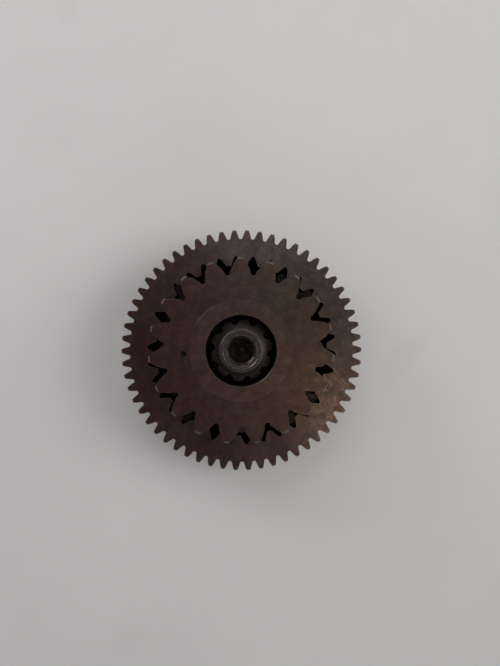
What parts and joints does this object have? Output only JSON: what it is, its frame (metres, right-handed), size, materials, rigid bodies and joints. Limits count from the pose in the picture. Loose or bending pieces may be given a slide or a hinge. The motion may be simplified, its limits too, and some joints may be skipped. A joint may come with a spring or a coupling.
{
  "type": "planetary gearbox",
  "caption": "Planetary reduction unit: a ring gear toothed inside and out, planets on a two-plate carrier whose front plate is itself a gear, and a bored sun shaft in the middle.",
  "frame": {"origin": "centre of the rear plate's flat face, on which the unit stands, on the common gear axis", "axes": "+Z along the common axis, out of the toothed carrier plate; +X to the right and +Y away, as the unit lies seen from above with an outer tooth 0.35 degrees from +X"},
  "size_m": [0.06, 0.06, 0.0193],
  "materials": {
    "oxidised_steel": "satin",
    "turned_steel": "satin",
    "ground_steel": "satin",
    "spring_steel": "satin",
    "washer_steel": "satin",
    "bronze": "satin"
  },
  "bodies": {
    "ring_gear": {"ring_gear": "oxidised_steel"},
    "carrier": {"toothed_carrier": "oxidised_steel", "rear_plate": "turned_steel", "sun_bush": "bronze", "planet_pin_1": "ground_steel", "planet_pin_2": "ground_steel", "planet_pin_3": "ground_steel", "planet_pin_4": "ground_steel", "planet_washer_rear_1": "washer_steel", "planet_washer_rear_2": "washer_steel", "planet_washer_rear_3": "washer_steel", "planet_washer_rear_4": "washer_steel", "planet_washer_front_1": "washer_steel", "planet_washer_front_2": "washer_steel", "planet_washer_front_3": "washer_steel", "planet_washer_front_4": "washer_steel", "carrier_screw_1": "spring_steel", "carrier_screw_2": "spring_steel", "carrier_screw_3": "spring_steel", "carrier_screw_4": "spring_steel"},
    "sun": {"sun_gear": "oxidised_steel", "sun_shaft": "ground_steel", "sun_washer": "washer_steel", "sun_circlip": "spring_steel"},
    "planet_1": {"planet_gear_1": "oxidised_steel"},
    "needles_1": {"planet_needles_1": "ground_steel"},
    "planet_2": {"planet_gear_2": "oxidised_steel"},
    "needles_2": {"planet_needles_2": "ground_steel"},
    "planet_3": {"planet_gear_3": "oxidised_steel"},
    "needles_3": {"planet_needles_3": "ground_steel"},
    "planet_4": {"planet_gear_4": "oxidised_steel"},
    "needles_4": {"planet_needles_4": "ground_steel"}
  },
  "joints": [
    {"name": "carrier_spin", "type": "hinge", "parent": "ring_gear", "child": "carrier", "pos_m": [0, 0, 0], "axis": [0, 0, 1], "continuous": true},
    {"name": "sun_spin", "type": "hinge", "parent": "carrier", "child": "sun", "pos_m": [0, 0, 0], "axis": [0, 0, 1], "continuous": true},
    {"name": "planet_1_spin", "type": "hinge", "parent": "carrier", "child": "planet_1", "pos_m": [0.00994, 0.01035, 0], "axis": [0, 0, 1], "continuous": true},
    {"name": "needles_1_roll", "type": "hinge", "parent": "carrier", "child": "needles_1", "pos_m": [0.00994, 0.01035, 0], "axis": [0, 0, 1], "continuous": true},
    {"name": "planet_2_spin", "type": "hinge", "parent": "carrier", "child": "planet_2", "pos_m": [-0.01035, 0.00994, 0], "axis": [0, 0, 1], "continuous": true},
    {"name": "needles_2_roll", "type": "hinge", "parent": "carrier", "child": "needles_2", "pos_m": [-0.01035, 0.00994, 0], "axis": [0, 0, 1], "continuous": true},
    {"name": "planet_3_spin", "type": "hinge", "parent": "carrier", "child": "planet_3", "pos_m": [-0.00994, -0.01035, 0], "axis": [0, 0, 1], "continuous": true},
    {"name": "needles_3_roll", "type": "hinge", "parent": "carrier", "child": "needles_3", "pos_m": [-0.00994, -0.01035, 0], "axis": [0, 0, 1], "continuous": true},
    {"name": "planet_4_spin", "type": "hinge", "parent": "carrier", "child": "planet_4", "pos_m": [0.01035, -0.00994, 0], "axis": [0, 0, 1], "continuous": true},
    {"name": "needles_4_roll", "type": "hinge", "parent": "carrier", "child": "needles_4", "pos_m": [0.01035, -0.00994, 0], "axis": [0, 0, 1], "continuous": true}
  ],
  "couplings": [
    {"joint": "sun_spin", "follows": "carrier_spin", "ratio": 3.4},
    {"joint": "planet_1_spin", "follows": "carrier_spin", "ratio": -2.8333},
    {"joint": "needles_1_roll", "follows": "carrier_spin", "ratio": -1.7436},
    {"joint": "planet_2_spin", "follows": "carrier_spin", "ratio": -2.8333},
    {"joint": "needles_2_roll", "follows": "carrier_spin", "ratio": -1.7436},
    {"joint": "planet_3_spin", "follows": "carrier_spin", "ratio": -2.8333},
    {"joint": "needles_3_roll", "follows": "carrier_spin", "ratio": -1.7436},
    {"joint": "planet_4_spin", "follows": "carrier_spin", "ratio": -2.8333},
    {"joint": "needles_4_roll", "follows": "carrier_spin", "ratio": -1.7436}
  ]
}
